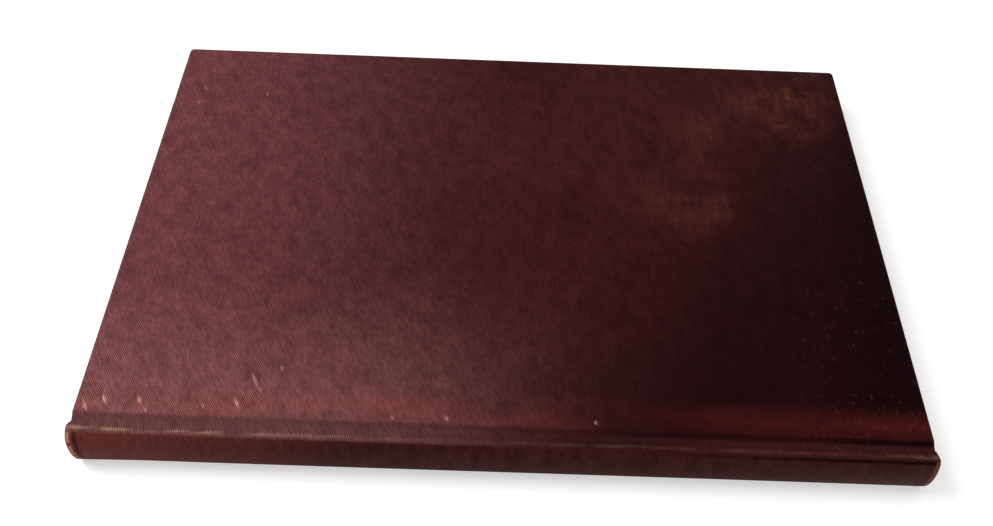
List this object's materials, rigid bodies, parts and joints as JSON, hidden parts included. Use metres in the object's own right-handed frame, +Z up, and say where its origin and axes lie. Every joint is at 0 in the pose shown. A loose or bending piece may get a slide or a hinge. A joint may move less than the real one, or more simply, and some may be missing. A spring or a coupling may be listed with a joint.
{
  "type": "hardback book",
  "caption": "Cloth-cased hardback book, closed, with a rounded hollow-back spine, grooved joints and two covers that open flat on hinges along the joints.",
  "frame": {"origin": "under the middle of the closed book, on the plane its back cover lies on", "axes": "+X along the spine from head to tail, +Y from the spine to the fore-edge, +Z up through the front cover"},
  "size_m": [0.222, 0.1494, 0.014],
  "materials": {
    "book_cloth": "dark maroon book cloth with a fine diagonal rib, rubbed paler at the ridges and edges",
    "pages": "aged cream book paper, trimmed edges",
    "endpaper": "plain cream endpaper",
    "lining_paper": "brown kraft paper strip",
    "mull": "open cotton gauze set in glue",
    "board": "dense grey-brown millboard"
  },
  "bodies": {
    "text_block": {"page_block": "pages", "front_flyleaf": "endpaper", "back_flyleaf": "endpaper", "spine_mull": "mull", "spine_lining": "lining_paper", "spine_inlay": "board", "spine_cloth": "book_cloth"},
    "front_cover": {"front_board": "board", "front_cover_cloth": "book_cloth", "front_pastedown": "endpaper", "front_mull_flange": "mull"},
    "back_cover": {"back_board": "board", "back_cover_cloth": "book_cloth", "back_pastedown": "endpaper", "back_mull_flange": "mull"}
  },
  "joints": [
    {"name": "front_cover_hinge", "type": "hinge", "parent": "text_block", "child": "front_cover", "pos_m": [0, -0.0715, 0.01093], "axis": [1, 0, 0], "range_deg": [0, 179]},
    {"name": "back_cover_hinge", "type": "hinge", "parent": "text_block", "child": "back_cover", "pos_m": [0, -0.0715, 0.00308], "axis": [-1, 0, 0], "range_deg": [0, 179]}
  ]
}
